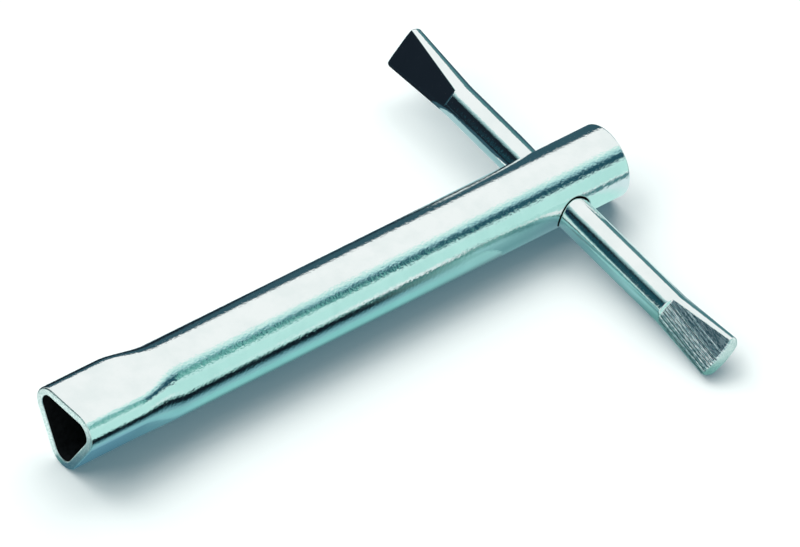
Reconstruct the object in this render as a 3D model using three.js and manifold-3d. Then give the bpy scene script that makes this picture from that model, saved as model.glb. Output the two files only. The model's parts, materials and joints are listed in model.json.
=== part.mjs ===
// Three-edged socket key with a sliding cross bar, both of bright zinc-plated steel.
// Millimetres, +Z up. The key lies as put down on a table: the lower corner of its socket,
// the rim of its handle end and the tip of its ribbed blade carry it.

import * as THREE from 'three';
import { mergeVertices } from 'three/addons/utils/BufferGeometryUtils.js';
import Module from 'manifold-3d';

// Tube
const TUBE_LENGTH = 217;
const TUBE_DIAMETER = 25;
const TUBE_WALL = 3;
const RIM_CHAMFER = 0.6;
const MOUTH_CHAMFER = 0.4;

// Three-edged socket pressed into the tube's mouth
const SOCKET_FLAT_TO_CORNER = 20.5;
const SOCKET_CORNER_RADIUS = 4.1;
const SOCKET_FLAT_WALL = 2.85;
const SOCKET_CORNER_WALL = 2.65;
const SOCKET_DEPTH = 21;
const FORMING_LENGTH = 17;
const SOCKET_TURN_DEG = 6;

// Cross bar and its hole
const BAR_DIAMETER = 12;
const BAR_LENGTH = 161.2;
const BAR_SHIFT = 5.7;
const BAR_FROM_RIM = 22.75;
const BAR_UNDER_AXIS = 1.2;
const HOLE_PLAY = 0.4;
const BAR_SEAT_GAP = 0.3;

// Blades pressed flat at the ends of the bar
const RIBBED_BLADE_LENGTH = 25;
const RIBBED_BLADE_TURN_DEG = 41.6;
const PLAIN_BLADE_LENGTH = 29;
const PLAIN_BLADE_TURN_DEG = 52;
const TIP_THICKNESS = 5.7;
const TIP_FACE_WIDTH = 12.2;
const TIP_WIDTH = 15.8;
const TIP_EDGE_BREAK = 0.5;
const HEEL_STEP = 0.9;
const HEEL_RUN = 1.2;

// Ribs along one face of one blade
const RIB_PITCH = 1.15;
const RIB_DEPTH = 0.3;
const RIB_CREST = 0.2;

// Facets
const SIDES_PER_CORNER = 16;
const FORMING_STEPS = 10;
const FACE_STEPS = 6;
const FLANK_STEPS = 6;
const BLADE_STEPS = 6;
const HOLE_SIDES = 48;
const LAY_PASSES = 12;

const CORNERS = 3;
const ALONG_BAR = new THREE.Vector3(1, 0, 0);
const UP = new THREE.Vector3(0, 0, 1);
const radians = THREE.MathUtils.degToRad;
const wasm = await Module();
wasm.setup();

// Skin through rings of points with equal counts; a looped skin joins its last ring to its first
function skin(rings, looped) {
  const count = rings[0].length;
  const positions = rings.flat().flatMap((point) => point.toArray());
  const faces = [];
  const spans = looped ? rings.length : rings.length - 1;
  for (let i = 0; i < spans; i += 1) {
    const near = i * count;
    const far = ((i + 1) % rings.length) * count;
    for (let j = 0; j < count; j += 1) {
      const next = (j + 1) % count;
      faces.push(near + j, near + next, far + next);
      faces.push(near + j, far + next, far + j);
    }
  }
  if (!looped) {
    closeEnd(positions, faces, rings[0], 0, true);
    closeEnd(positions, faces, rings[rings.length - 1], (rings.length - 1) * count, false);
  }
  const geometry = new THREE.BufferGeometry();
  geometry.setAttribute('position', new THREE.Float32BufferAttribute(positions, 3));
  geometry.setIndex(faces);
  return geometry;
}

// Flat end of a skin, as a fan about the middle of its ring
function closeEnd(positions, faces, ring, first, atStart) {
  const middle = positions.length / 3;
  const centre = new THREE.Vector3();
  ring.forEach((point) => centre.add(point));
  positions.push(...centre.divideScalar(ring.length).toArray());
  for (let j = 0; j < ring.length; j += 1) {
    const next = (j + 1) % ring.length;
    faces.push(middle, first + (atStart ? next : j), first + (atStart ? j : next));
  }
}

// Closed geometry as a solid that can be cut
function toSolid(geometry) {
  const bare = geometry.clone();
  bare.deleteAttribute('normal');
  bare.deleteAttribute('uv');
  const merged = mergeVertices(bare);
  return new wasm.Manifold(new wasm.Mesh({
    numProp: 3,
    vertProperties: new Float32Array(merged.attributes.position.array),
    triVerts: new Uint32Array(merged.index.array),
  }));
}

// Cut solid as a geometry again
function toGeometry(solid) {
  const mesh = solid.getMesh();
  const geometry = new THREE.BufferGeometry();
  geometry.setAttribute('position', new THREE.Float32BufferAttribute(mesh.vertProperties, 3));
  geometry.setIndex(Array.from(mesh.triVerts));
  geometry.computeVertexNormals();
  return geometry;
}

// Rounded triangle: corner circles of a radius, their centres at a reach from the axis.
// A reach of nought is the round tube, so one formula gives every section of the tube.
function tubeRing(x, { reach, radius }) {
  const step = (2 * Math.PI) / (CORNERS * SIDES_PER_CORNER);
  const firstCorner = -Math.PI / 2 - radians(SOCKET_TURN_DEG);
  const ring = [];
  for (let corner = 0; corner < CORNERS; corner += 1) {
    const towards = firstCorner + (corner * 2 * Math.PI) / CORNERS;
    for (let side = 0; side < SIDES_PER_CORNER; side += 1) {
      const angle = towards + (side + 0.5 - SIDES_PER_CORNER / 2) * step;
      ring.push(new THREE.Vector3(
        x,
        reach * Math.cos(towards) + radius * Math.cos(angle),
        reach * Math.sin(towards) + radius * Math.sin(angle),
      ));
    }
  }
  return ring;
}

// Section part of the way from the three-edged socket to the round tube
function blend(socket, round, share) {
  const ease = THREE.MathUtils.smoothstep(share, 0, 1);
  return {
    reach: THREE.MathUtils.lerp(socket.reach, round.reach, ease),
    radius: THREE.MathUtils.lerp(socket.radius, round.radius, ease),
  };
}

// Sections of the socket: the hole's own size, and the thicker skin around it
const tubeRadius = TUBE_DIAMETER / 2;
const boreReach = (SOCKET_FLAT_TO_CORNER - 2 * SOCKET_CORNER_RADIUS) / 1.5;
const skinReach = boreReach - 2 * (SOCKET_FLAT_WALL - SOCKET_CORNER_WALL);
const skinRadius = boreReach + SOCKET_CORNER_RADIUS + SOCKET_CORNER_WALL - skinReach;
const socketBore = { reach: boreReach, radius: SOCKET_CORNER_RADIUS };
const socketSkin = { reach: skinReach, radius: skinRadius };
const roundBore = { reach: 0, radius: tubeRadius - TUBE_WALL };
const roundSkin = { reach: 0, radius: tubeRadius };

// The same section, drawn in by a chamfer
function drawnIn(section, chamfer) {
  return { reach: section.reach, radius: section.radius - chamfer };
}

// Rings from the mouth through the formed length, where the triangle turns round
function formedRings(socket, round) {
  const rings = [];
  for (let i = 0; i <= FORMING_STEPS; i += 1) {
    const share = i / FORMING_STEPS;
    rings.push(tubeRing(SOCKET_DEPTH + share * FORMING_LENGTH, blend(socket, round, share)));
  }
  return rings;
}

// Tube: out along its skin, over the handle end, back along its bore and over the mouth
function tubeBlank() {
  const rings = [
    tubeRing(0, drawnIn(socketSkin, MOUTH_CHAMFER)),
    tubeRing(MOUTH_CHAMFER, socketSkin),
    ...formedRings(socketSkin, roundSkin),
    tubeRing(TUBE_LENGTH - RIM_CHAMFER, roundSkin),
    tubeRing(TUBE_LENGTH, drawnIn(roundSkin, RIM_CHAMFER)),
    tubeRing(TUBE_LENGTH, roundBore),
    ...formedRings(socketBore, roundBore).reverse(),
    tubeRing(0, socketBore),
  ];
  return skin(rings, true);
}

// Round hole straight through both walls, in which the bar slides
const barRadius = BAR_DIAMETER / 2;
const barX = TUBE_LENGTH - BAR_FROM_RIM;
function barHole() {
  const through = 2 * TUBE_DIAMETER;
  const hole = new THREE.CylinderGeometry(barRadius + HOLE_PLAY, barRadius + HOLE_PLAY, through, HOLE_SIDES);
  hole.translate(barX, 0, -BAR_UNDER_AXIS);
  return hole;
}

// Section of the bar: two faces a thickness apart, with flanks that bulge to the full width.
// A crowned face follows the round bar, a pressed face is flat.
function barRing(x, { halfThickness, halfFace, halfWidth, crowned }) {
  const bulge = halfThickness / Math.sqrt(1 - (halfFace / halfWidth) ** 2);
  const ring = [];
  for (const side of [1, -1]) {
    for (let i = 0; i < FACE_STEPS; i += 1) {
      const y = side * halfFace * (1 - (2 * i) / FACE_STEPS);
      const z = crowned ? Math.sqrt(halfWidth ** 2 - y ** 2) : halfThickness;
      ring.push(new THREE.Vector3(x, y, side * z));
    }
    for (let i = 0; i < FLANK_STEPS; i += 1) {
      const z = side * halfThickness * Math.cos((i * Math.PI) / FLANK_STEPS);
      const y = -side * halfWidth * Math.sqrt(1 - (z / bulge) ** 2);
      ring.push(new THREE.Vector3(x, y, z));
    }
  }
  return ring;
}

// Half sizes of a blade's section at its heel and at its tip
const heelHalf = barRadius - HEEL_STEP;
const heelFaceHalf = Math.sqrt(barRadius ** 2 - heelHalf ** 2);
const heel = { halfThickness: heelHalf, halfFace: heelFaceHalf, halfWidth: barRadius };
const tip = { halfThickness: TIP_THICKNESS / 2, halfFace: TIP_FACE_WIDTH / 2, halfWidth: TIP_WIDTH / 2 };

// Section at a share of the way from heel to tip, with straight faces and straight flanks
function bladeSection(share) {
  const mix = (key) => THREE.MathUtils.lerp(heel[key], tip[key], share);
  return { halfThickness: mix('halfThickness'), halfFace: mix('halfFace'), halfWidth: mix('halfWidth') };
}

// Rings of one blade, from the round bar to the tip, with the tip's edges broken
function bladeRings(direction, length, turn) {
  const heelX = BAR_LENGTH / 2 - length;
  const faceX = heelX + HEEL_RUN;
  const breakX = BAR_LENGTH / 2 - TIP_EDGE_BREAK;
  const rings = [barRing(direction * heelX, { ...heel, crowned: true })];
  for (let i = 0; i <= BLADE_STEPS; i += 1) {
    const share = i / BLADE_STEPS;
    rings.push(barRing(direction * THREE.MathUtils.lerp(faceX, breakX, share), bladeSection(share)));
  }
  rings.push(barRing(direction * (BAR_LENGTH / 2), {
    halfThickness: tip.halfThickness - TIP_EDGE_BREAK / 2,
    halfFace: tip.halfFace - TIP_EDGE_BREAK,
    halfWidth: tip.halfWidth - TIP_EDGE_BREAK,
  }));
  rings.flat().forEach((point) => point.applyAxisAngle(ALONG_BAR, turn));
  return rings;
}

// Bar along its own X, the ribbed blade at +X; each blade was pressed at its own turn about the bar
const ribbedTurn = radians(RIBBED_BLADE_TURN_DEG);
const plainTurn = radians(PLAIN_BLADE_TURN_DEG);
function barBlank() {
  const plain = bladeRings(-1, PLAIN_BLADE_LENGTH, plainTurn).reverse();
  return skin([...plain, ...bladeRings(1, RIBBED_BLADE_LENGTH, ribbedTurn)], false);
}

// Grooves between the ribs, a pitch apart across the face and parallel to its lower edge
function ribGrooves() {
  const faceX = BAR_LENGTH / 2 - RIBBED_BLADE_LENGTH + HEEL_RUN;
  const faceLength = BAR_LENGTH / 2 - TIP_EDGE_BREAK - faceX;
  const fall = Math.atan2(heel.halfThickness - tip.halfThickness, faceLength);
  const spread = Math.atan2(tip.halfFace - heel.halfFace, faceLength);
  const halfMouth = RIB_PITCH - RIB_CREST;
  const groove = new THREE.Shape();
  groove.moveTo(-halfMouth, RIB_DEPTH);
  groove.lineTo(0, -RIB_DEPTH);
  groove.lineTo(halfMouth, RIB_DEPTH);
  groove.closePath();
  const count = Math.floor((TIP_FACE_WIDTH * Math.cos(spread)) / RIB_PITCH);
  const grooves = [];
  for (let i = 1; i <= count; i += 1) {
    const cutter = new THREE.ExtrudeGeometry(groove, { depth: 2 * faceLength, bevelEnabled: false });
    cutter.rotateY(Math.PI / 2);
    cutter.rotateX(Math.PI / 2);
    cutter.translate(0, i * RIB_PITCH, 0);
    cutter.rotateZ(-spread);
    cutter.rotateY(fall);
    cutter.translate(faceX, -heel.halfFace, heel.halfThickness);
    cutter.rotateX(ribbedTurn);
    grooves.push(cutter);
  }
  return grooves;
}

// Pieces
const tubeSteel = new THREE.MeshStandardMaterial({ color: 0xc6dcda, roughness: 0.22, metalness: 1 });
const barSteel = new THREE.MeshStandardMaterial({ color: 0xc9dddc, roughness: 0.2, metalness: 1 });

const tube = new THREE.Mesh(toGeometry(toSolid(tubeBlank()).subtract(toSolid(barHole()))), tubeSteel);
tube.name = 'socket_tube';

const ribbed = ribGrooves().reduce((solid, groove) => solid.subtract(toSolid(groove)), toSolid(barBlank()));
const bar = new THREE.Mesh(toGeometry(ribbed), barSteel);
bar.name = 'cross_bar';
bar.position.x = BAR_SHIFT;

// The bar crosses the tube and lies low in its hole
const barSeat = new THREE.Group();
barSeat.rotation.z = -Math.PI / 2;
barSeat.position.set(barX, 0, BAR_SEAT_GAP - HOLE_PLAY - BAR_UNDER_AXIS);
barSeat.add(bar);

const key = new THREE.Group();
key.add(tube, barSeat);

// Points of a mesh where the key now lies
function placedPoints(mesh) {
  const position = mesh.geometry.attributes.position;
  const points = [];
  for (let i = 0; i < position.count; i += 1) {
    points.push(new THREE.Vector3().fromBufferAttribute(position, i).applyMatrix4(mesh.matrixWorld));
  }
  return points;
}

// Lowest of the points
function foot(points) {
  return points.reduce((low, point) => (point.z < low.z ? point : low));
}

// Lay the key down: turn it until its three feet, at mouth, rim and ribbed blade, are level
function layDown(group) {
  for (let pass = 0; pass < LAY_PASSES; pass += 1) {
    group.updateMatrixWorld(true);
    const skinPoints = placedPoints(tube);
    const middleX = new THREE.Vector3(TUBE_LENGTH / 2, 0, 0).applyMatrix4(group.matrixWorld).x;
    const mouthFoot = foot(skinPoints.filter((point) => point.x < middleX));
    const rimFoot = foot(skinPoints.filter((point) => point.x > middleX));
    const bladeFoot = foot(placedPoints(bar).filter((point) => point.y < -TUBE_DIAMETER));
    const along = new THREE.Vector3().subVectors(rimFoot, mouthFoot);
    const aside = new THREE.Vector3().subVectors(mouthFoot, bladeFoot);
    const normal = along.cross(aside).normalize();
    group.quaternion.premultiply(new THREE.Quaternion().setFromUnitVectors(normal, UP));
  }
}
layDown(key);

// Origin at the middle of the underside
key.updateMatrixWorld(true);
const extent = new THREE.Box3().setFromObject(key, true);
const middle = extent.getCenter(new THREE.Vector3());
key.position.set(-middle.x, -middle.y, -extent.min.z);

const assembly = new THREE.Group();
assembly.add(key);

export default assembly;
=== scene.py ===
"""Looks of the triangular socket wrench: a formed steel tube and its sliding bar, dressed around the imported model.

Lengths are in millimetres in the wrench's own axes until a mesh is made. X runs along the tube from the mouth of the
socket to the handle end, Y across it from the ribbed blade to the plain one, and Z up.
"""
from __future__ import annotations

import json
import logging
import math
from dataclasses import dataclass
from enum import Enum, IntEnum
from typing import Any, Sequence

import bmesh
import bpy
import numpy as np
from mathutils import Matrix


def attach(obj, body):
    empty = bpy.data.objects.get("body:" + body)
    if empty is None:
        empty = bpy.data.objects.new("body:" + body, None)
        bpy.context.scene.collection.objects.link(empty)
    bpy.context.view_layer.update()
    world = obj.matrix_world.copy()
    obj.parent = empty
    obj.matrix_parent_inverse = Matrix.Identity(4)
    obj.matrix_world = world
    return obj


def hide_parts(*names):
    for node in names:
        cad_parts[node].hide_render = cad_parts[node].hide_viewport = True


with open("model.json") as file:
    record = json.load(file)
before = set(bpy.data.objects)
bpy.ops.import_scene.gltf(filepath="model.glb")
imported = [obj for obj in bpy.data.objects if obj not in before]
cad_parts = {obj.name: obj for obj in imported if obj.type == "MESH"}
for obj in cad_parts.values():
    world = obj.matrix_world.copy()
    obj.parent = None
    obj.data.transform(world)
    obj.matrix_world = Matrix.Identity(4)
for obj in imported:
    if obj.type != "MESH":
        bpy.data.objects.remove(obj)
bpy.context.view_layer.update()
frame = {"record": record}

Array = np.ndarray
Colour = tuple[float, float, float, float]
Material = bpy.types.Material
Socket = bpy.types.NodeSocket
Stops = Sequence[tuple[float, str]]
Thing = bpy.types.Object
Tree = bpy.types.NodeTree

MM = 0.001
WELD_MM = 0.002
SENSOR_WIDTH = 36.0
CLIP_RANGE = (0.05, 50.0)
SIXTH_TURN = math.pi / 3
THIRD_TURN = 2 * math.pi / 3
WHITE = "#FFFFFF"
log = logging.getLogger("socket_wrench")


class Finish(IntEnum):
    """Finishes of the faces, in the order of a piece's material slots."""

    PLATE = 0
    CUT = 1
    SCALE = 2
    PRESSED = 3
    # Dark finish in the pressed grooves: painted shade.
    SHADED_GROOVE = 4


Materials = dict[Finish, Material]


class Grain(Enum):
    """Direction that a piece was drawn in, as the axis that its draw lines follow."""

    ALONG_TUBE = (1.0, 0.0, 0.0)
    ALONG_BAR = (0.0, 1.0, 0.0)


def linear_colour(code: str) -> Colour:
    """Turn an sRGB hex colour into the linear values that Blender's sockets take.

    Args:
        code: a hash and six hex digits.

    Returns:
        Linear red, green and blue, and an alpha of 1.
    """
    shares = np.array([int(code[start:start + 2], 16) for start in (1, 3, 5)]) / 255
    linear = np.where(shares <= 0.04045, shares / 12.92, ((shares + 0.055) / 1.055) ** 2.4)
    return (*linear.tolist(), 1.0)


def add_node(tree: Tree, kind: str, settings: dict[Any, Any] | None = None) -> bpy.types.Node:
    """Add a node with its settings and links.

    Args:
        tree: node tree that takes the node.
        kind: Blender's name for the type of shader node, less the prefix that all of them share.
        settings: values by the name of an attribute or by the name or number of an input. A value that is a socket is
            linked to its input, and "stops" holds a ramp's colours.

    Returns:
        The new node.
    """
    node = tree.nodes.new(f"ShaderNode{kind}")
    for name, value in (settings or {}).items():
        if isinstance(value, Socket):
            tree.links.new(value, node.inputs[name])
        elif name == "stops":
            elements = node.color_ramp.elements
            elements[0].position, elements[0].color = value[0][0], linear_colour(value[0][1])
            elements[1].position, elements[1].color = value[-1][0], linear_colour(value[-1][1])
            for position, code in value[1:-1]:
                elements.new(position).color = linear_colour(code)
        elif isinstance(name, int) or name in node.inputs:
            node.inputs[name].default_value = value
        else:
            setattr(node, name, value)
    return node


def calculate(tree: Tree, operation: str, *values: Socket | float) -> Socket:
    """Add a calculation with sockets and numbers, given in the order of its inputs, and return its result."""
    return add_node(tree, "Math", {"operation": operation, **dict(enumerate(values))}).outputs["Value"]


def noise(tree: Tree, at: Socket, size_mm: float, detail: float, roughness: float = 0.5) -> Socket:
    """Add noise with marks of a size and finer layers, as strong as the roughness, and return its value."""
    return add_node(tree, "TexNoise", {"Scale": 1 / (size_mm * MM), "Detail": detail, "Roughness": roughness,
                                       "Vector": at}).outputs["Fac"]


def ramp(tree: Tree, pattern: Socket, stops: Stops) -> Socket:
    """Colour a pattern by its value, from stops of value and colour, and return the colour."""
    return add_node(tree, "ValToRGB", {"stops": stops, "Fac": pattern}).outputs["Color"]


def bump(tree: Tree, pattern: Socket, height_mm: float, on_top_of: Socket | None = None) -> Socket:
    """Turn a pattern into relief of a height, laid over other relief if there is any, and return its normal."""
    under = {} if on_top_of is None else {"Normal": on_top_of}
    return add_node(tree, "Bump", {"Distance": height_mm * MM, "Height": pattern, **under}).outputs["Normal"]


def straight_share(tree: Tree) -> Socket:
    """Tell rays with no matt surface before them, by a socket that is 1 for them and 0 for others."""
    return calculate(tree, "LESS_THAN", add_node(tree, "LightPath").outputs["Diffuse Depth"], 0.5)


def background_share(tree: Tree) -> Socket:
    """Tell rays that show the background from those that light the object.

    Args:
        tree: node tree that asks.

    Returns:
        A socket that is 1 for camera, glossy and transmission rays with no matt surface before them.
    """
    path = add_node(tree, "LightPath").outputs
    seen = calculate(tree, "MAXIMUM", path["Is Camera Ray"], path["Is Glossy Ray"])
    clear = calculate(tree, "MAXIMUM", seen, path["Is Transmission Ray"])
    return calculate(tree, "MULTIPLY", clear, straight_share(tree))


def new_material(name: str) -> tuple[Material, Tree]:
    """Make an empty node material.

    Args:
        name: name of the material.

    Returns:
        The material and its cleared node tree.
    """
    material = bpy.data.materials.new(name)
    material.use_nodes = True
    material.node_tree.nodes.clear()
    return material, material.node_tree


def set_surface(tree: Tree, settings: dict[str, Any]) -> None:
    """Give a material its surface, from the settings and links of the general shader."""
    shader = add_node(tree, "BsdfPrincipled", settings)
    add_node(tree, "OutputMaterial", {"Surface": shader.outputs["BSDF"]})


def add_object(name: str, data: bpy.types.ID) -> Thing:
    """Put a mesh, a camera or a lamp into the scene as an object at the origin, and return the object."""
    thing = bpy.data.objects.new(name, data)
    bpy.context.scene.collection.objects.link(thing)
    return thing


def add_sheet(name: str, corner: Array, width: Array, height: Array, material: Material) -> Thing:
    """Make a flat sheet, whose corners are one corner plus none, one or both of its sides.

    Args:
        name: name of the sheet.
        corner: its first corner, in millimetres.
        width: its first side, along which U runs.
        height: its second side, along which V runs.
        material: what it is made of.

    Returns:
        The sheet's object.
    """
    places = np.array([[0, 0], [1, 0], [1, 1], [0, 1]])
    mesh = bpy.data.meshes.new(name)
    mesh.from_pydata(((corner + places[:, :1] * width + places[:, 1:] * height) * MM).tolist(), [], [(0, 1, 2, 3)])
    mesh.uv_layers.new(name="sheet").data.foreach_set("uv", places.astype(np.float32).ravel())
    mesh.materials.append(material)
    return add_object(name, mesh)


def smooth_step(share: Array) -> Array:
    """Ease a share from 0 to 1 with no slope at either end: 3t squared minus 2t cubed, held outside."""
    held = np.clip(share, 0.0, 1.0)
    return held * held * (3 - 2 * held)


def stretches(ends: Sequence[float], steps: Sequence[int]) -> Array:
    """Space points evenly over stretches that follow each other, by the ends of the stretches and the steps in each."""
    parts = (np.linspace(start, end, count + 1)[1:] for start, end, count in zip(ends, ends[1:], steps))
    return np.concatenate([ends[:1], *parts])


def soft_rise(length: Array, softness: float) -> Array:
    """Follow 0 before a start and the length after it, round a soft corner: half of x plus the root of x² + s²."""
    return 0.5 * (length + np.sqrt(length * length + softness * softness))


@dataclass
class Skin:
    """A surface of four-cornered faces before it becomes a mesh."""

    points: Array
    faces: Array
    finishes: Array

    @classmethod
    def from_grid(cls, points: Array, finishes: Array, ring_rows: bool, keep: Array | None = None) -> Skin:
        """Join a grid of points into faces, each row closed into a ring.

        Args:
            points: grid of rows, columns and three coordinates.
            finishes: finish of the faces that start at each row, or at each row and column.
            ring_rows: whether the last row joins the first one.
            keep: mask by row and column of the faces that stay, or none for all.

        Returns:
            The surface of the faces that are kept.
        """
        rows, columns = points.shape[:2]
        index = np.arange(rows * columns).reshape(rows, columns)
        below = np.roll(index, -1, axis=0)
        faces = np.stack([index, np.roll(index, -1, axis=1), np.roll(below, -1, axis=1), below], axis=-1)
        count = rows if ring_rows else rows - 1
        mask = np.ones((rows, columns), bool) if keep is None else keep.copy()
        mask[count:] = False
        kind = np.broadcast_to(finishes if finishes.ndim == 2 else finishes[:, None], (rows, columns))
        return cls(points.reshape(-1, 3), faces[mask], kind[mask])

    def joined(self, *others: Skin) -> Skin:
        """Put several surfaces into one.

        Args:
            others: surfaces that follow this one.

        Returns:
            One surface of all their faces, with double points still apart.
        """
        skins = (self, *others)
        starts = np.cumsum([0] + [len(skin.points) for skin in skins[:-1]])
        return Skin(np.concatenate([skin.points for skin in skins]),
                    np.concatenate([skin.faces + start for skin, start in zip(skins, starts)]),
                    np.concatenate([skin.finishes for skin in skins]))


@dataclass(frozen=True)
class WrenchAxes:
    """Where the wrench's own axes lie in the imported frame."""

    origin: Array
    turn: Array

    @classmethod
    def from_record(cls, tube_length: float, rim_middle: float) -> WrenchAxes:
        """Read the axes from the mount on the handle's rim and from the bar's joint.

        Args:
            tube_length: length of the tube.
            rim_middle: radius of the rim's middle, where the mount stands above the tube's axis.

        Returns:
            Axes whose origin is the middle of the socket's mouth.
        """
        mounts = {mount["name"]: mount for mount in frame["record"]["mounts"]}
        rim = mounts["handle_rim_face"]
        along = np.array(rim["axis"]) / np.linalg.norm(rim["axis"])
        joint_axis = np.array(frame["record"]["behaviour"]["joints"][0]["axis"])
        up = np.cross(along, -joint_axis)
        up /= np.linalg.norm(up)
        turn = np.stack([along, np.cross(up, along), up])
        origin = np.array(rim["pos_m"]) / MM - rim_middle * up - tube_length * along
        return cls(origin, turn)

    def to_frame(self, points: Array) -> Array:
        """Carry points in millimetres from the wrench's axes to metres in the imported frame."""
        return (self.origin + points @ self.turn) * MM


def make_piece(name: str, skin: Skin, axes: WrenchAxes, materials: Materials) -> Thing:
    """Make one closed, smooth piece from a surface.

    Args:
        name: name of the piece.
        skin: its surface in the wrench's axes.
        axes: where these axes lie.
        materials: its material for each finish.

    Returns:
        The piece's object, at the origin and unturned.
    """
    mesh = bpy.data.meshes.new(name)
    mesh.from_pydata(axes.to_frame(skin.points).tolist(), [], skin.faces.tolist())
    slots = sorted(materials)
    for finish in slots:
        mesh.materials.append(materials[finish])
    mesh.polygons.foreach_set("material_index", np.searchsorted(slots, skin.finishes).astype(np.int32))
    shell = bmesh.new()
    shell.from_mesh(mesh)
    bmesh.ops.remove_doubles(shell, verts=shell.verts, dist=WELD_MM * MM)
    bmesh.ops.recalc_face_normals(shell, faces=shell.faces)
    open_edges = sum(not edge.is_manifold for edge in shell.edges)
    shell.to_mesh(mesh)
    shell.free()
    mesh.polygons.foreach_set("use_smooth", np.ones(len(mesh.polygons), bool))
    mesh.update()
    log.info("%s: %d faces, %d open edges", name, len(mesh.polygons), open_edges)
    return add_object(name, mesh)


@dataclass(frozen=True)
class ZincPlate:
    """Bright zinc plate on drawn steel, dipped in a pale blue passivate.

    It mirrors its surroundings in bands, slightly blurred, with a green-blue cast. The plate is a little uneven, so the
    edges of the bands are ragged, and fine draw lines of the steel show through it. The unevenness is drawn coarser
    than it is, so that it shows in the render.
    """

    name: str
    grain: Grain
    light: str = "#EEF5F4"
    dull: str = "#E7F0EF"
    smooth: float = 0.05
    rough: float = 0.11
    peel_mm: float = 1.0
    peel_height_mm: float = 0.03
    line_mm: float = 0.5
    line_length_mm: float = 22.0
    line_height_mm: float = 0.002
    cloud_mm: float = 9.0
    tint_range: tuple[float, float] = (0.35, 0.6)
    gloss_range: tuple[float, float] = (0.3, 0.7)

    def material(self) -> Material:
        """Make the material.

        Returns:
            A metal whose tint, roughness and bump vary at the sizes in the fields.
        """
        material, tree = new_material(self.name)
        place = add_node(tree, "TexCoord").outputs["Object"]
        along = np.array(self.grain.value)
        squeeze = 1 - along + along * self.line_mm / self.line_length_mm
        drawn_at = add_node(tree, "Mapping", {"Scale": squeeze.tolist(), "Vector": place}).outputs["Vector"]
        clouds = noise(tree, place, self.cloud_mm, 4.0)
        gloss = add_node(tree, "MapRange", {"From Min": self.gloss_range[0], "From Max": self.gloss_range[1],
                                            "To Min": self.smooth, "To Max": self.rough, "Value": clouds})
        lines = bump(tree, noise(tree, drawn_at, self.line_mm, 3.0), self.line_height_mm)
        peel = bump(tree, noise(tree, place, self.peel_mm, 2.0, 0.6), self.peel_height_mm, lines)
        tint = ramp(tree, clouds, list(zip(self.tint_range, (self.dull, self.light))))
        set_surface(tree, {"Metallic": 1.0, "Base Color": tint, "Roughness": gloss.outputs["Result"], "Normal": peel})
        return material


@dataclass(frozen=True)
class FleckedFinish:
    """A dull finish whose tint and relief follow one pattern of flecks."""

    name: str
    dark: str
    light: str
    tint_range: tuple[float, float]
    metallic: float
    roughness: float
    fleck_mm: float
    fleck_height_mm: float
    detail: float
    specular: float = 0.5

    def material(self) -> Material:
        """Make the material.

        Returns:
            A dull surface, flecked at the size in the fields.
        """
        material, tree = new_material(self.name)
        flecks = noise(tree, add_node(tree, "TexCoord").outputs["Object"], self.fleck_mm, self.detail)
        tint = ramp(tree, flecks, list(zip(self.tint_range, (self.dark, self.light))))
        set_surface(tree, {"Metallic": self.metallic, "Roughness": self.roughness, "Specular IOR Level": self.specular,
                           "Base Color": tint, "Normal": bump(tree, flecks, self.fleck_height_mm)})
        return material


@dataclass(frozen=True)
class SawnEdge(FleckedFinish):
    """Zinc plate over a sawn or sheared steel edge: the same cast, matt and finely scored."""

    name: str = "plated_sawn_edge"
    dark: str = "#BFD6D3"
    light: str = "#E4F2EF"
    tint_range: tuple[float, float] = (0.35, 0.6)
    metallic: float = 1.0
    roughness: float = 0.38
    fleck_mm: float = 0.6
    fleck_height_mm: float = 0.012
    detail: float = 3.0


@dataclass(frozen=True)
class MillScaleAndGrooveShade(FleckedFinish):
    """Dull mill scale on bare steel: blue-black in the bore; a paler kind in the pressed grooves is painted shade."""

    name: str = "mill_scale_bore"
    dark: str = "#07090A"
    light: str = "#16191B"
    tint_range: tuple[float, float] = (0.35, 0.65)
    metallic: float = 0.0
    roughness: float = 0.8
    fleck_mm: float = 1.4
    fleck_height_mm: float = 0.02
    detail: float = 4.0
    specular: float = 0.2


@dataclass(frozen=True)
class PressedFace:
    """Zinc plate over a face that a scaled press tool has struck: the same cast, dull and grainy, with dark streaks.

    The streaks follow the line of the tool's ribs. Grain and streaks are drawn a little coarser than the tool's, so
    that they show in the render.
    """

    line: Sequence[float]
    name: str = "plated_pressed_face"
    light: str = WHITE
    dull: str = "#8EA8B0"
    roughness: float = 0.28
    streak_mm: float = 0.36
    streak_stretch: float = 4.5
    grain_mm: float = 0.5
    grain_height_mm: float = 0.05
    tint_range: tuple[float, float] = (0.42, 0.58)

    def material(self) -> Material:
        """Make the material.

        Returns:
            A dull metal, streaked and pitted at the sizes in the fields.
        """
        material, tree = new_material(self.name)
        place = add_node(tree, "TexCoord").outputs["Object"]
        on_line = add_node(tree, "VectorMath", {"operation": "DOT_PRODUCT", 0: place, 1: self.line}).outputs["Value"]
        shorten = (1 / self.streak_stretch - 1) * np.array(self.line)
        drawn_at = add_node(tree, "VectorMath", {"operation": "MULTIPLY_ADD", 0: on_line, 1: shorten.tolist(),
                                                 2: place}).outputs["Vector"]
        streaks = noise(tree, drawn_at, self.streak_mm, 2.0)
        tint = ramp(tree, streaks, list(zip(self.tint_range, (self.dull, self.light))))
        pits = bump(tree, noise(tree, place, self.grain_mm, 2.0), self.grain_height_mm)
        set_surface(tree, {"Metallic": 1.0, "Roughness": self.roughness, "Base Color": tint, "Normal": pits})
        return material


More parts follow.
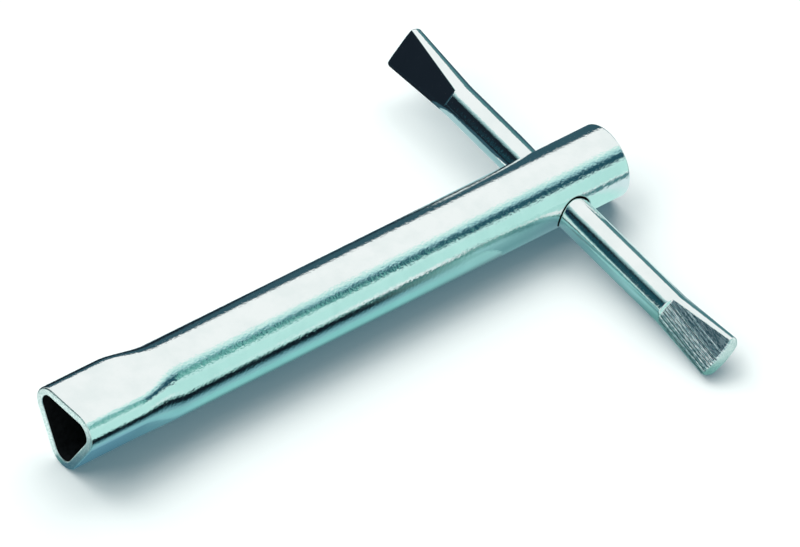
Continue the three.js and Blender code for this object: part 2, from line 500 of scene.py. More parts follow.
@dataclass
class SocketTube:
    """The drawn tube: a triangular socket at its mouth, a round handle end and a hole across it for the bar."""

    length: float = 217.0
    radius: float = 12.5
    bore: float = 9.5
    flat_to_corner: float = 20.5
    corner_radius: float = 4.1
    flat_wall: float = 2.85
    corner_wall: float = 2.65
    socket_depth: float = 21.0
    forming_length: float = 17.0
    socket_turn: float = math.radians(6.0)
    mouth_break: float = 0.5
    rim_break: float = 0.6
    bore_break: float = 0.3
    hole_from_rim: float = 22.75
    hole_height: float = -1.2
    hole_radius: float = 6.4
    hole_break: float = 0.35
    window_reach: float = 9.5
    window_columns: tuple[int, int] = (-35, 25)
    window_rows: int = 20
    columns: int = 192
    edge_steps: int = 6
    plated_steps: int = 2
    edge_gap: float = 0.25
    body_steps: tuple[int, int, int] = (14, 44, 35)
    rim_steps: int = 7
    cut_shares: tuple[float, ...] = (0.08, 0.5, 0.92)
    spoke_rows: int = 14
    spoke_power: float = 1.5
    row_slack: float = 0.01

    @property
    def hole_at(self) -> float:
        """Distance of the hole's middle from the mouth."""
        return self.length - self.hole_from_rim

    @property
    def window_ends(self) -> tuple[float, float]:
        """Distances of the two ends of the hole's window from the mouth."""
        return self.hole_at - self.window_reach, self.hole_at + self.window_reach

    @property
    def rim_middle(self) -> float:
        """Radius of the middle of the flat rim at the handle end."""
        return (self.bore + self.radius - self.rim_break) / 2

    @property
    def column_angles(self) -> Array:
        """Angles of the grid's columns about the tube, from +Y towards +Z."""
        return np.arange(self.columns) * (2 * math.pi / self.columns)

    @property
    def inner_triangle(self) -> tuple[float, float]:
        """Reach and corner radius of the socket's bore."""
        return (self.flat_to_corner - 2 * self.corner_radius) / 1.5, self.corner_radius

    @property
    def outer_triangle(self) -> tuple[float, float]:
        """Work out the socket's outer skin from the walls at its flats and corners.

        Returns:
            Its reach and corner radius.
        """
        reach, radius = self.inner_triangle
        flat = reach / 2 + radius + self.flat_wall
        corner = reach + radius + self.corner_wall
        return 2 * (corner - flat), 2 * flat - corner

    def formed_radius(self, along: Array, growth: Array, triangle: tuple[float, float], radius: float) -> Array:
        """Work out a surface of the wall as distances from the axis: a rounded triangle that eases into a circle.

        A corner is an arc about a point at the reach from the axis. A flat is the line that touches two arcs. Where
        the reach is 0 the triangle is a circle.

        Args:
            along: distances of the rows from the mouth.
            growth: length that each row adds to the surface's radius.
            triangle: reach and corner radius in the socket.
            radius: radius of the round tube.

        Returns:
            Distance from the axis by row and column.
        """
        round_share = smooth_step((along - self.socket_depth) / self.forming_length)[:, None]
        reach = triangle[0] * (1 - round_share)
        corner = triangle[1] + (radius - triangle[1]) * round_share + growth[:, None]
        first_corner = -math.pi / 2 - self.socket_turn
        from_corner = np.abs((self.column_angles - first_corner + SIXTH_TURN) % THIRD_TURN - SIXTH_TURN)
        half, tall = math.cos(SIXTH_TURN), math.sin(SIXTH_TURN)
        arc_ends = np.arctan2(corner * tall, reach + corner * half)
        arc = reach * np.cos(from_corner) + np.sqrt(np.maximum(corner**2 - (reach * np.sin(from_corner)) ** 2, 0))
        flat = (reach * half + corner) / np.cos(SIXTH_TURN - from_corner)
        return np.where(from_corner <= arc_ends, arc, flat)

    def rows(self, mouth_break: float, rim_break: float) -> tuple[Array, Array]:
        """Place the grid's rows along the tube, with a quarter round at each end.

        Args:
            mouth_break: radius of the edge at the mouth.
            rim_break: radius of the edge at the rim.

        Returns:
            Distance from the mouth and inset of each row, from the mouth to the rim.
        """
        turn = np.linspace(0, math.pi / 2, self.edge_steps)
        body = stretches([mouth_break + self.edge_gap, self.socket_depth, self.socket_depth + self.forming_length,
                          *self.window_ends, self.length - rim_break - self.edge_gap],
                         [*self.body_steps, self.window_rows, self.rim_steps])
        along = np.concatenate([mouth_break * (1 - np.cos(turn)), body,
                                self.length - rim_break * (1 - np.cos(turn[::-1]))])
        inset = np.concatenate([mouth_break * (1 - np.sin(turn)), np.zeros(len(body)),
                                rim_break * (1 - np.sin(turn[::-1]))])
        return along, inset

    def wall(self) -> Skin:
        """Build the tube's wall as one closed grid: out along the skin, over the rim, back through the bore.

        Each row is a rounded triangle or circle, and the two flat rims run straight from the skin to the bore. The
        faces in the windows round the cross hole are left out.

        Returns:
            The wall with four windows.
        """
        out_x, out_inset = self.rows(self.mouth_break, self.rim_break)
        in_x, in_inset = self.rows(self.bore_break, self.bore_break)
        outer = self.formed_radius(out_x, -out_inset, self.outer_triangle, self.radius)
        inner = self.formed_radius(in_x, in_inset, self.inner_triangle, self.bore)
        shares = np.array(self.cut_shares)[:, None]
        rim = outer[-1] + shares * (inner[-1] - outer[-1])
        mouth = inner[0] + shares * (outer[0] - inner[0])
        radii = np.concatenate([outer, rim, inner[::-1], mouth])
        along = np.concatenate([out_x, np.full(len(rim), self.length), in_x[::-1], np.zeros(len(mouth))])
        angles = self.column_angles
        points = np.stack([np.broadcast_to(along[:, None], radii.shape), radii * np.cos(angles),
                           radii * np.sin(angles)], axis=-1)
        rim_start = len(out_x) - 1
        bore_start = len(out_x) + len(rim) + self.edge_steps - 1
        bore_end = len(out_x) + len(rim) + len(in_x) - self.edge_steps
        finishes = np.full(len(along), Finish.PLATE)
        finishes[:self.edge_steps - self.plated_steps] = Finish.CUT
        finishes[rim_start:] = Finish.CUT
        finishes[bore_start:bore_end] = Finish.SCALE
        near, far = self.window_ends
        ahead = np.roll(along, -1)
        in_rows = np.minimum(along, ahead) > near - self.row_slack
        in_rows &= np.maximum(along, ahead) < far + self.row_slack
        low, high = self.window_columns
        plain_side = np.arange(low, high) % self.columns
        ribbed_side = np.arange(self.columns // 2 - high, self.columns // 2 - low)
        in_columns = np.zeros(self.columns, bool)
        in_columns[np.concatenate([plain_side, ribbed_side])] = True
        return Skin.from_grid(points, finishes, True, ~(in_rows[:, None] & in_columns))

    def hole(self, side: int) -> Skin:
        """Build one end of the cross hole as a grid of spokes that fills its window outside and inside.

        Each row has a width of the hole, a level, which is its distance from the tube's axis, and a share. For a share
        of 0 it lies on the edge of the hole, for 1 on that of the window, and between them it runs straight in distance
        along the tube and angle about it. Quarter rounds in width and level break the hole's two edges.

        Args:
            side: 1 for the side of the plain blade, -1 for that of the ribbed one.

        Returns:
            The surface from the outer window's edge to the inner one's.
        """
        low, high = self.window_columns
        lines = self.hole_at + np.linspace(-self.window_reach, self.window_reach, self.window_rows + 1)
        lifts = np.arange(low, high + 1) * (2 * math.pi / self.columns)
        window_x = np.concatenate([lines[:-1], np.full(high - low, lines[-1]), lines[:0:-1],
                                   np.full(high - low, lines[0])])
        window_lift = np.concatenate([np.full(self.window_rows, lifts[0]), lifts[:-1],
                                      np.full(self.window_rows, lifts[-1]), lifts[:0:-1]])
        middle = math.asin(self.hole_height / self.radius)
        spoke = np.arctan2(self.radius * (window_lift - middle), window_x - self.hole_at)
        shares = np.linspace(1, 0, self.spoke_rows) ** self.spoke_power
        turn = np.linspace(0, math.pi / 2, self.edge_steps)[1:]
        on_wall, into_hole, down = np.ones(self.spoke_rows), 1 - np.sin(turn), 1 - np.cos(turn)
        outer, inner = self.hole_break, self.hole_break / 2
        share = np.concatenate([shares, np.zeros(2 * len(turn)), shares[::-1]])[:, None]
        wide = self.hole_radius + np.concatenate([outer * on_wall, outer * into_hole, inner * into_hole[::-1],
                                                  inner * on_wall])[:, None]
        level = np.concatenate([self.radius * on_wall, self.radius - outer * down, self.bore + inner * down[::-1],
                                self.bore * on_wall])[:, None]
        hole_x = self.hole_at + wide * np.cos(spoke)
        hole_lift = np.arcsin((self.hole_height + wide * np.sin(spoke)) / level)
        x = hole_x + share * (window_x - hole_x)
        lift = hole_lift + share * (window_lift - hole_lift)
        points = np.stack([x, side * level * np.cos(lift), level * np.sin(lift)], axis=-1)
        finishes = np.full(len(points), Finish.SCALE)
        finishes[:self.spoke_rows + self.plated_steps] = Finish.PLATE
        return Skin.from_grid(points, finishes, False)

    def build(self, axes: WrenchAxes, materials: Materials) -> None:
        """Make the piece and bind it to its body.

        Args:
            axes: where the wrench's axes lie.
            materials: plate, sawn edge and mill scale.
        """
        piece = make_piece("formed_tube", self.wall().joined(self.hole(1), self.hole(-1)), axes, materials)
        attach(piece, "tube")
        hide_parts("socket_tube")


@dataclass(frozen=True)
class Blade:
    """One pressed end of the bar: its length, its turn about the bar, the shape of its tip, its rows and its ribs."""

    length: float
    turn: float
    tip_face: float
    crown: float
    corner_drop: float
    steps: int
    ribs: bool


@dataclass
class CrossBar:
    """The drawn rod that slides across the tube, with its two ends pressed into flared blades."""

    length: float = 161.2
    radius: float = 6.0
    shift: float = 5.7
    drop: float = 1.3
    ribbed: Blade = Blade(25.0, math.radians(41.6), 6.1, 1.2, 0.5, 83, True)
    plain: Blade = Blade(29.0, math.radians(52.0), 6.8, 0.4, 0.0, 55, False)
    heel_step: float = 0.9
    heel_run: float = 0.7
    heel_softness: float = 0.5
    step_softness: float = 0.3
    tip_half: float = 2.85
    tip_width: float = 7.9
    tip_break: float = 0.5
    warp_reach: float = 5.0
    corner_power: int = 8
    rib_pitch: float = 1.15
    rib_depth: float = 0.09
    rib_width: float = 0.16
    rib_heights: tuple[float, float] = (0.3, 1.0)
    rib_drift: float = 0.2
    rib_count: int = 64
    ribs_under_edge: int = 16
    ribs_end: float = 9.0
    ribs_fade: float = 2.0
    ribs_before_heel: float = 0.3
    ribs_rise: float = 0.5
    groove_half: float = 0.2
    groove_depth: float = 0.12
    groove_stretch: tuple[float, float] = (0.7, 0.6)
    grooves_end: float = 5.2
    # Share of a groove's half width that its painted shade covers.
    shaded_groove_share: float = 0.7
    ribbed_flank: float = 2.0
    flank_fade: float = 0.8
    face_crown: float = 0.2
    edge_bend: float = 0.6
    bend_reach: float = 3.6
    section_power: float = 64.0
    columns: int = 320
    rib_columns: float = 1.5
    fine_flank: float = -0.1
    walk_points: int = 4001
    rod_steps: tuple[int, int] = (13, 25)
    heel_zone: tuple[float, float] = (-2.0, 3.0)
    tip_gap: float = 0.1
    tip_steps: int = 6
    cap_shares: tuple[float, ...] = (0.97, 0.9, 0.78, 0.64, 0.5, 0.36, 0.22, 0.1, 0.0)
    seed: int = 7

    @property
    def heel_face(self) -> float:
        """Half width of a blade's face at its heel, where it is cut into the round rod."""
        return math.sqrt(self.radius**2 - (self.radius - self.heel_step) ** 2)

    @property
    def rib_skew(self) -> float:
        """Angle between the ribs and the bar, that of the ribbed face's lower edge."""
        run = self.ribbed.length - self.heel_run - self.tip_break
        return math.atan2(self.ribbed.tip_face - self.heel_face, run)

    @property
    def rib_line(self) -> Array:
        """Direction of the ribs in the wrench's axes."""
        aside = -math.sin(self.rib_skew)
        return np.array([aside * math.cos(self.ribbed.turn), -math.cos(self.rib_skew),
                         aside * math.sin(self.ribbed.turn)])

    @property
    def chances(self) -> tuple[Array, Array]:
        """Draw the ribs' differences by the seed.

        Returns:
            Heights of the ribs as shares of a full one, and shifts from their lines as shares of the pitch.
        """
        chance = np.random.default_rng(self.seed)
        heights = chance.uniform(*self.rib_heights, self.rib_count)
        return heights, chance.uniform(-self.rib_drift, self.rib_drift, self.rib_count)

    def rib_number(self, pitches: Array) -> Array:
        """Number of the rib at a whole count of pitches from the face's lower edge, held to the ribs that are drawn."""
        return np.clip(pitches.astype(int) + self.ribs_under_edge, 0, self.rib_count - 1)

    def from_heel(self, along: Array, blade: Blade) -> Array:
        """Distance of sections from a blade's heel towards its tip, from their distance from the bar's middle."""
        return along - (self.length / 2 - blade.length + self.heel_run)

    def outline(self, along: Array, blade: Blade, angles: Array) -> tuple[Array, Array, Array]:
        """Work out the sections of one half of the bar: an ellipse cut off by two flat faces.

        The faces close in along a straight taper from the heel to the tip and the flanks flare out with them. Behind
        the heel the faces rise steeply until they leave the rod. Faces and flanks meet in a soft corner: the power
        mean of their inverse distances from the bar's axis.

        Args:
            along: distances of the sections from the bar's middle towards the tip.
            blade: the pressed end.
            angles: directions about the axis, from the blade's width towards its face.

        Returns:
            Distance from the axis and share that the face takes in it, by section and direction, and the half
            thickness between the faces, by section.
        """
        from_heel = self.from_heel(along, blade)[:, None]
        run = blade.length - self.heel_run - self.tip_break
        share = np.minimum(soft_rise(from_heel, self.heel_softness) / run, 1.0)
        heel_half = self.radius - self.heel_step
        taper = heel_half + share * (self.tip_half - heel_half)
        step = heel_half - from_heel * self.heel_step / self.heel_run
        half = step + soft_rise(taper - step, self.step_softness)
        face_width = self.heel_face + share * (blade.tip_face - self.heel_face)
        width = self.radius + share * (self.tip_width - self.radius)
        height = taper / np.sqrt(1 - (face_width / width) ** 2)
        ellipse = np.hypot(np.cos(angles) / width, np.sin(angles) / height) ** self.section_power
        face = (np.abs(np.sin(angles)) / half) ** self.section_power
        return (ellipse + face) ** (-1 / self.section_power), face / (ellipse + face), half

    @property
    def column_angles(self) -> Array:
        """Space the grid's columns round the outline of the ribbed tip, closer where it is ribbed.

        Returns:
            Direction of each column about the bar's axis.
        """
        fine = np.linspace(0, 2 * math.pi, self.walk_points)
        radius, on_face = (rows[0] for rows in self.outline(np.array([self.length / 2]), self.ribbed, fine)[:2])
        steps = np.hypot(np.diff(radius * np.cos(fine)), np.diff(radius * np.sin(fine)))
        ribbed = np.where(np.cos(fine) < 0, np.sin(fine) > self.fine_flank, on_face * (np.sin(fine) > 0))
        steps *= 1 + self.rib_columns * ribbed[1:]
        walked = np.concatenate([[0], np.cumsum(steps)])
        return np.interp(np.arange(self.columns) / self.columns * walked[-1], walked, fine)

    def from_lower_edge(self, along: Array, across: Array) -> Array:
        """Distance of points up the ribbed face from its lower edge, square to it, less than 0 past it."""
        from_heel = self.from_heel(along, self.ribbed)
        return (across + self.heel_face) * math.cos(self.rib_skew) + from_heel * math.sin(self.rib_skew)

    def from_groove(self, offset: Array) -> Array:
        """Work out how far points of the ribbed surface lie from the nearest groove between two ribs.

        Args:
            offset: distances up the face from its lower edge.

        Returns:
            Distance from the groove's middle by point, stretched where the groove is narrow.
        """
        heights, drift = self.chances
        nearest = np.round(offset / self.rib_pitch)
        number = self.rib_number(nearest)
        least, more = self.groove_stretch
        return np.abs(offset - self.rib_pitch * (nearest + drift[number])) * (least + more * heights[number])

    def rib_sink(self, along: Array, offset: Array) -> Array:
        """Depth of the ribbed surface under its crests: narrow crests and grooves, parallel to the face's lower edge.

        A crest is a bell curve over the distance from its line, and a groove is a notch half way between two lines.
        The crests fade out towards the face's upper edge and the grooves end half way up to it.

        Args:
            along: distances from the bar's middle.
            offset: distances up the face from its lower edge, or down the flank from it as less than 0.

        Returns:
            Depth under the crests, by point. Each rib's height and place vary a little, by the seed.
        """
        heights, drift = self.chances
        number = self.rib_number(np.floor(offset / self.rib_pitch))
        from_line = (offset / self.rib_pitch) % 1.0 - 0.5 - drift[number]
        crest = heights[number] * np.exp(-((from_line * self.rib_pitch / self.rib_width) ** 2))
        crest = crest * smooth_step((self.ribs_end - offset) / self.ribs_fade)
        groove = np.maximum(1 - self.from_groove(offset) / self.groove_half, 0.0) * (offset < self.grooves_end)
        sink = self.rib_depth * (1 - crest) + self.groove_depth * groove
        return sink * smooth_step((self.from_heel(along, self.ribbed) + self.ribs_before_heel) / self.ribs_rise)

    def ribbed_face(self, along: Array, half: Array, across: Array, lift: Array) -> tuple[Array, Array, Array]:
        """Press the ribs into the upper side of sections.

        The face is cut down to its ground: a low arch, bent down by a square towards the lower edge. The ribs go
        straight down into it, and on over that edge for a short way down the flank, there towards the bar's axis.

        Args:
            along: distances of the sections from the bar's middle.
            half: half thickness at each section, as a column.
            across: distances of the points across the face, by section and point.
            lift: distances of the points towards the face.

        Returns:
            The new distances across and towards the face, and the finish at each point.
        """
        rows, angles = along[:, None], self.column_angles
        up_face = self.from_lower_edge(rows, across)
        bend = np.maximum(1 - up_face / self.bend_reach, 0.0) ** 2
        ground = half - (self.face_crown * (across / self.ribbed.tip_face) ** 2 + self.edge_bend * bend)
        on_face = (lift > ground) & (np.sin(angles) > 0)
        lift = np.where(on_face, ground, lift)
        steps = np.hypot(np.diff(across, axis=1, prepend=across[:, :1]), np.diff(lift, axis=1, prepend=lift[:, :1]))
        on_flank = ~on_face & (np.cos(angles) < 0) & (angles < 1.5 * math.pi)
        past_edge = np.cumsum(steps * on_flank, axis=1) * on_flank
        edge_at = np.min(np.where(on_face, up_face, np.inf), axis=1, keepdims=True)
        offset = np.where(on_flank, np.minimum(edge_at, 0.0) - past_edge, up_face)
        flank_share = on_flank * smooth_step((self.ribbed_flank - past_edge) / self.flank_fade)
        sink = self.rib_sink(rows, offset)
        across = across - flank_share * sink * np.cos(angles)
        lift = lift - on_face * sink - flank_share * sink * np.sin(angles)
        pressed = (on_face | (flank_share > 0.5)) & (self.from_heel(rows, self.ribbed) > 0)
        # Faces near the middle of a groove, low on the face, take the dark groove finish: painted shade.
        shaded_in_groove = (self.from_groove(offset) < self.shaded_groove_share * self.groove_half) & (offset < self.grooves_end)
        finishes = np.where(pressed, np.where(shaded_in_groove, Finish.SHADED_GROOVE, Finish.PRESSED), Finish.PLATE)
        return across, lift, finishes

    def half_bar(self, blade: Blade) -> tuple[Array, Array]:
        """Build one half of the bar from its middle to its tip.

        Sections follow each other to the tip's broken edge, a quarter round. The last ones shrink to a point and close
        the tip, which is crowned by a square of the distance across it.

        Args:
            blade: the pressed end.

        Returns:
            Points by row and column, X towards the tip, and the finish at each.
        """
        end = self.length / 2 - blade.crown
        before, after = (self.length / 2 - blade.length + reach for reach in self.heel_zone)
        turn = np.linspace(0, math.pi / 2, self.tip_steps)
        closing = len(self.cap_shares)
        body = stretches([0.0, before, after, end - self.tip_break - self.tip_gap], [*self.rod_steps, blade.steps])
        along = np.concatenate([body, end - self.tip_break * (1 - np.sin(turn)), np.full(closing, end)])
        inset = np.concatenate([np.zeros(len(body)), self.tip_break * (1 - np.cos(turn)),
                                np.full(closing, self.tip_break)])
        cap = np.concatenate([np.ones(len(body) + self.tip_steps), self.cap_shares])[:, None]
        angles = self.column_angles
        radius, _, half = self.outline(along, blade, angles)
        radius = radius - inset[:, None]
        across, lift = radius * np.cos(angles), radius * np.sin(angles)
        finishes = np.full(radius.shape, Finish.PLATE)
        if blade.ribs:
            across, lift, finishes = self.ribbed_face(along, half - inset[:, None], across, lift)
        across, lift = across * cap, lift * cap
        spread = across / self.tip_width
        pull = blade.crown * spread**2 + blade.corner_drop * (across < 0) * spread**self.corner_power
        near_tip = smooth_step((along - end) / self.warp_reach + 1)[:, None]
        x = along[:, None] + near_tip * (blade.crown - pull)
        turned_y = across * math.cos(blade.turn) - lift * math.sin(blade.turn)
        turned_z = across * math.sin(blade.turn) + lift * math.cos(blade.turn)
        finishes[len(body) + self.tip_steps - 1:] = Finish.CUT
        return np.stack([x, turned_y, turned_z], axis=-1), finishes

    def build(self, axes: WrenchAxes, bar_at: float, materials: Materials) -> None:
        """Make the piece and bind it to its body.

        The two halves are one grid from tip to tip. Each half has the turn of its own blade, and the one row of faces
        at the bar's middle joins them.

        Args:
            axes: where the wrench's axes lie.
            bar_at: distance of the bar from the mouth.
            materials: plate, sawn edge, pressed face and the painted shade in its grooves.
        """
        ribbed, ribbed_finish = self.half_bar(self.ribbed)
        plain, plain_finish = self.half_bar(self.plain)
        plain[..., 0] *= -1
        local = np.concatenate([plain[:0:-1], ribbed[1:]])
        finishes = np.concatenate([plain_finish[-2::-1], ribbed_finish[1:]])
        points = np.stack([bar_at + local[..., 1], -(local[..., 0] + self.shift), local[..., 2] - self.drop], axis=-1)
        piece = make_piece("sliding_bar", Skin.from_grid(points, finishes, False), axes, materials)
        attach(piece, "bar")
        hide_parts("cross_bar")


@dataclass(frozen=True)
class Card:
    """A flat glowing card, a painted reflection that only reflections see, with colours along its height at its two
    ends.
    """

    name: str
    corner: tuple[float, float, float]
    width: tuple[float, float, float]
    height: tuple[float, float, float]
    near_end: Stops
    far_end: Stops | None = None
    change: tuple[float, float] = (0.0, 1.0)

    def build(self) -> None:
        """Make the card.

        Its colour runs along its height and goes over from that of its near end to that of its far end along its
        width. It glows only in reflections that the camera sees without a matt surface between, so it doesn't light
        the floor.
        """
        material, tree = new_material(self.name)
        place = add_node(tree, "SeparateXYZ", {"Vector": add_node(tree, "TexCoord").outputs["UV"]}).outputs
        colour = ramp(tree, place["Y"], self.near_end)
        if self.far_end:
            start, end = self.change
            share = add_node(tree, "MapRange", {"From Min": start, "From Max": end, "Value": place["X"]})
            colour = add_node(tree, "Mix", {"data_type": "RGBA", 0: share.outputs["Result"], 6: colour,
                                            7: ramp(tree, place["Y"], self.far_end)}).outputs[2]
        glow = add_node(tree, "Emission", {"Color": colour, "Strength": straight_share(tree)})
        add_node(tree, "OutputMaterial", {"Surface": glow.outputs["Emission"]})
        sides = (np.array(side) for side in (self.corner, self.width, self.height))
        card = add_sheet(self.name, *sides, material)
        card.visible_camera = card.visible_diffuse = card.visible_shadow = False


def plain_stops(code: str) -> Stops:
    """Give an end of a card one colour from its foot to its top."""
    return ((0.0, code), (1.0, code))


MINT = "#BFEDE7"
PALE_MINT = "#CCF2EE"
PALE_TEAL = "#B5E2E2"
NAVY = "#385965"
DEEP_NAVY = "#26505F"
SHADE_TEAL = "#6BAFA8"
SLATE_TEAL = "#56858A"
INK_TEAL = "#1F4A55"
NEAR_BLACK = "#1A222B"

BOARD_FOOT = ((0, MINT), (0.13, MINT), (0.18, PALE_MINT), (0.195, PALE_MINT))
BOARD_TOP = ((0.676, "#D2F5EF"), (1, "#EEFCFA"))
SHADED_BOARD = (*BOARD_FOOT, (0.225, SHADE_TEAL), (0.39, SHADE_TEAL), (0.494, PALE_TEAL), *BOARD_TOP)

# The cards are painted reflections: glowing sheets whose colours are what the plate shows where it mirrors them. Those
# that lie just above the floor paint it, in reflections only, darker or paler than the white floor; some of them stand
# in for the floor's shadow near the tube and the bar.
CARDS = (
    Card("front_board", (-150, -480, 0), (1550, 0, 0), (0, 0, 1700), SHADED_BOARD,
         ((0, MINT), (0.13, MINT), (0.16, PALE_MINT), (0.178, PALE_MINT), (0.21, DEEP_NAVY), (0.35, DEEP_NAVY),
          (0.387, "#73A0AA"), (0.494, PALE_TEAL), *BOARD_TOP), (0.332, 0.35)),
    Card("back_flag", (-200, 500, -1000), (2200, 0, 770), (0, 0, 1042), plain_stops(NAVY),
         plain_stops(SLATE_TEAL), (0.32, 0.41)),
    Card("back_sheet", (20, 40, -0.08), (600, 0, 0), (0, 460, 0), plain_stops(NAVY)),
    Card("left_sheet", (-420, 40, -0.1), (440, 0, 0), (0, 860, 0),
         ((0, NAVY), (0.04, NEAR_BLACK), (1, NEAR_BLACK))),
    Card("right_sheet", (140, -32, -0.1), (1860, 0, 0), (0, 532, 0), plain_stops(SLATE_TEAL)),
    Card("near_sheet", (97, -80, -0.08), (1900, 0, 0), (0, 48, 0), plain_stops(SLATE_TEAL)),
    Card("side_flag", (-420, -60, 0), (0, 1400, 0), (0, 0, 1600),
         ((0, INK_TEAL), (0.4, INK_TEAL), (0.43, "#436E74"), (0.545, "#8EBCBE"), (0.706, "#AFD9D8"),
          (1, "#CFEDEA")),
         ((0, NEAR_BLACK), (0.4, NEAR_BLACK), (0.43, "#3C585C"), (0.545, "#7C9FA2"), (0.706, "#AFCFD0"),
          (1, "#CFEDEA")), (0.246, 0.275)),
    Card("left_board", (-600, -700, 0), (0, 640, 0), (0, 0, 400), plain_stops("#45787B")),
    Card("front_sheet", (-300, -480, -0.1), (900, 0, 0), (0, 380, 0), plain_stops(MINT)),
    Card("front_floor", (-170, -100, -0.1), (290, 0, 0), (0, 110, 0),
         ((0, MINT), (0.14, "#A9DAD4"), (0.22, "#6FA09E"), (0.3, "#27444A"), (0.38, "#0C1A22"), (0.56, "#0A141C"),
          (0.625, "#1E3A42"), (0.665, "#447078"), (0.7, "#6C9EA8"), (0.745, "#86BAC0"), (0.79, "#8CCFCE"),
          (0.84, "#88CBC9"), (0.88, "#5F9093"), (1, "#5F9093")),
         ((0, MINT), (0.1, "#B4E4DD"), (0.18, "#5F958F"), (0.22, "#43797A"), (0.36, "#43797A"), (0.44, "#6CA39E"),
          (0.54, "#80B6B2"), (0.66, "#8DC3C1"), (0.73, "#9BD1CF"), (0.82, "#95C8C8"), (0.88, "#6A8E93"),
          (1, "#6A8E93")), (0.66, 0.8)),
    Card("bar_floor", (62, -84, -0.05), (35, 0, 0), (0, 146, 0),
         ((0, "#5F958F"), (0.05, "#427876"), (0.16, "#427876"), (0.24, "#74AAA6"), (0.32, "#98CBCD"),
          (0.5, "#6E9FA3"), (0.8, "#93BCC0"), (1, "#B2D2D6")),
         ((0, "#83B8B4"), (0.18, "#83B8B4"), (0.25, "#4F8284"), (0.33, "#4F8284"), (0.4, "#6C9FA2"),
          (0.5, "#6C929C"), (0.8, "#A9CCD0"), (1, "#B2D2D6")), (0.2, 0.7)),
    Card("tip_floor", (55, -240, -0.05), (95, 0, 0), (0, 156, 0),
         ((0, "#F6FCFC"), (1, "#EEF8F8"))),
    Card("handle_floor", (97, -37, -0.04), (43, 0, 0), (0, 50, 0), plain_stops(MINT),
         plain_stops("#DDEFF2"), (0.25, 0.42)),
    Card("socket_floor", (-125, -15, -0.04), (70, 0, 0), (0, 21, 0),
         ((0, "#88BECA"), (0.45, "#78AABA"), (0.6, "#5E90A2"), (0.75, "#4B788A"), (0.9, "#446A7E"),
          (1, "#446A7E")),
         ((0, "#88C8C8"), (0.3, "#8CCFCE"), (0.36, "#88CBC9"), (0.56, "#5F9093"), (1, "#5F9093")), (0.5, 1)),
    Card("mouth_board", (150, -478, 0), (118, 0, 0), (0, 0, 1700),
         (*BOARD_FOOT, (0.225, "#A8DAD4"), (0.33, "#A8DAD4"), (0.42, "#C5ECE8"), *BOARD_TOP), SHADED_BOARD,
         (0.5, 1)),
    Card("rib_flag", (-415, -320, 0), (0, 510, 0), (0, 0, 1500),
         ((0, "#F0FFFC"), (0.12, "#ECFDFA"), (0.15, "#B4E2DE"), (0.2, "#4F868E"), (0.25, "#142E46"),
          (0.42, "#142E46"), (0.52, "#4F7C88"), (1, "#C8E4E2"))),
    Card("far_floor", (30, 66, -0.05), (70, 0, 0), (0, 40, 0), plain_stops(NEAR_BLACK)),
)


@dataclass(frozen=True)
class Viewpoint:
    """The camera, from its aim outwards: angles in degrees, lengths in millimetres."""

    azimuth: float = -42.481
    elevation: float = 44.032
    roll: float = 5.434
    distance: float = 3187.9
    aim: tuple[float, float, float] = (21.747, 2.005, 13.0)
    lens: float = 457.23

    def build(self) -> None:
        """Make the camera and give it to the scene."""
        around, lift, roll = (math.radians(angle) for angle in (self.azimuth, self.elevation, self.roll))
        turn = (Matrix.Rotation(around, 4, "Z") @ Matrix.Rotation(math.pi / 2 - lift, 4, "X")
                @ Matrix.Rotation(roll, 4, "Z"))
        aim = Matrix.Translation([length * MM for length in self.aim])
        data = bpy.data.cameras.new("camera")
        data.lens, data.sensor_width = self.lens, SENSOR_WIDTH
        data.clip_start, data.clip_end = CLIP_RANGE
        camera = add_object("camera", data)
        camera.matrix_world = aim @ turn @ Matrix.Translation((0.0, 0.0, self.distance * MM))
        bpy.context.scene.camera = camera


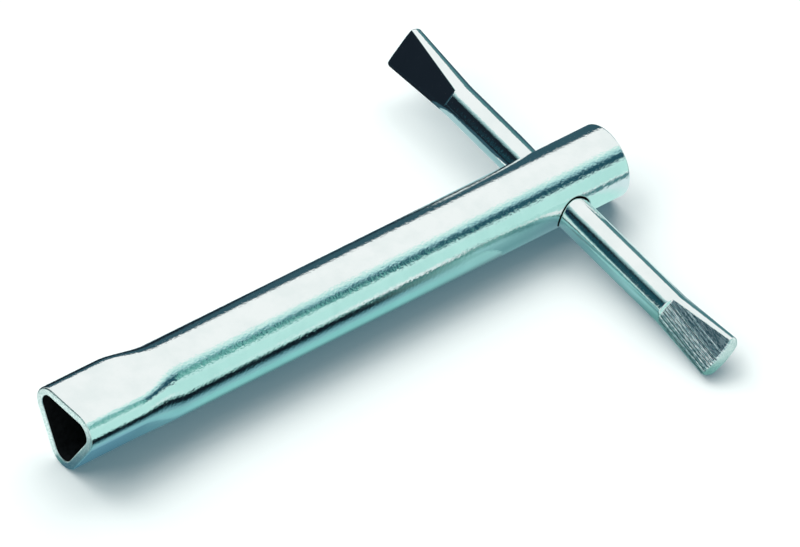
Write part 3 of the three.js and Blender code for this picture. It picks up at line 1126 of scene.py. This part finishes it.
@dataclass
class Studio:
    """A white floor under a white tent, a row of soft lamps behind, and cards that the plate mirrors."""

    floor_reach: float = 6000.0
    floor_under: float = 0.15
    floor_colour: str = "#F6F6F1"
    glow_colour: str = "#97E7FF"
    floor_glow: float = 0.172
    shade: float = 0.21
    lamps: Sequence[tuple[float, float]] = ((40.0, 1.15), (100.0, 1.56), (160.0, 0.9))
    lamp_elevation: float = 50.0
    lamp_spread: float = 40.0
    cards: Sequence[Card] = CARDS

    def world(self) -> None:
        """Make the white tent: white where it is seen, dim where it lights the floor, which metal doesn't pass on."""
        world = bpy.data.worlds.new("tent")
        world.use_nodes = True
        tree = world.node_tree
        tree.nodes.clear()
        glossy = add_node(tree, "LightPath").outputs["Is Glossy Ray"]
        strength = calculate(tree, "MULTIPLY_ADD", glossy, -self.shade, self.shade)
        dim = add_node(tree, "Background", {"Color": linear_colour(WHITE), "Strength": strength})
        white = add_node(tree, "Background", {"Color": linear_colour(WHITE)})
        both = add_node(tree, "MixShader", {0: background_share(tree), 1: dim.outputs["Background"],
                                            2: white.outputs["Background"]})
        add_node(tree, "OutputWorld", {"Surface": both.outputs["Shader"]})
        bpy.context.scene.world = world

    def floor(self) -> None:
        """Make the floor: one matt white sheet just under the wrench, which keeps its shadow.

        A faint glow that lights nothing gives the shadow its cast.
        """
        material, tree = new_material("matt_white_paper")
        paper = add_node(tree, "BsdfDiffuse", {"Color": linear_colour(self.floor_colour)})
        strength = calculate(tree, "MULTIPLY", background_share(tree), self.floor_glow)
        glow = add_node(tree, "Emission", {"Color": linear_colour(self.glow_colour), "Strength": strength})
        both = add_node(tree, "AddShader", {0: paper.outputs["BSDF"], 1: glow.outputs["Emission"]})
        add_node(tree, "OutputMaterial", {"Surface": both.outputs["Shader"]})
        corner = np.array([-self.floor_reach, -self.floor_reach, -self.floor_under])
        width, height = 2 * self.floor_reach * np.eye(3)[:2]
        floor = add_sheet("floor", corner, width, height, material)

    def lamp(self, azimuth: float, power: float) -> None:
        """Make one wide soft lamp, which lights the floor from above and behind and is left out of reflections.

        Args:
            azimuth: its direction about the wrench, in degrees from +X towards +Y.
            power: its strength.
        """
        around, lift = math.radians(azimuth), math.radians(self.lamp_elevation)
        data = bpy.data.lights.new("soft_lamp", "SUN")
        data.energy, data.angle = power, math.radians(self.lamp_spread)
        lamp = add_object("soft_lamp", data)
        lamp.rotation_euler = (0.0, math.pi / 2 - lift, around)
        lamp.visible_glossy = False

    def build(self) -> None:
        """Build the tent, the floor, the lamps and the cards."""
        self.world()
        self.floor()
        for azimuth, power in self.lamps:
            self.lamp(azimuth, power)
        for card in self.cards:
            card.build()
        log.info("studio: floor, %d lamps and %d cards", len(self.lamps), len(self.cards))


def main() -> None:
    """Build the camera, the studio, the tube and the bar."""
    logging.basicConfig(level=logging.INFO, format="%(name)s: %(message)s")
    bpy.context.scene.view_settings.view_transform = "Standard"
    Viewpoint().build()
    Studio().build()
    tube, bar = SocketTube(), CrossBar()
    axes = WrenchAxes.from_record(tube.length, tube.rim_middle)
    tube_plate = ZincPlate("zinc_plate_tube", Grain.ALONG_TUBE, peel_height_mm=0.07)
    bar_plate = ZincPlate("zinc_plate_bar", Grain.ALONG_BAR)
    pressed = PressedFace(bar.rib_line @ axes.turn)
    # The grooves' dark finish is painted shade.
    groove_shade_finish = MillScaleAndGrooveShade("painted_groove_shade", "#22363C", "#3A555C")
    sawn = SawnEdge().material()
    tube.build(axes, {Finish.PLATE: tube_plate.material(), Finish.CUT: sawn, Finish.SCALE: MillScaleAndGrooveShade().material()})
    bar.build(axes, tube.hole_at, {Finish.PLATE: bar_plate.material(), Finish.CUT: sawn,
                                   Finish.PRESSED: pressed.material(), Finish.SHADED_GROOVE: groove_shade_finish.material()})


if __name__ == "__main__":
    main()
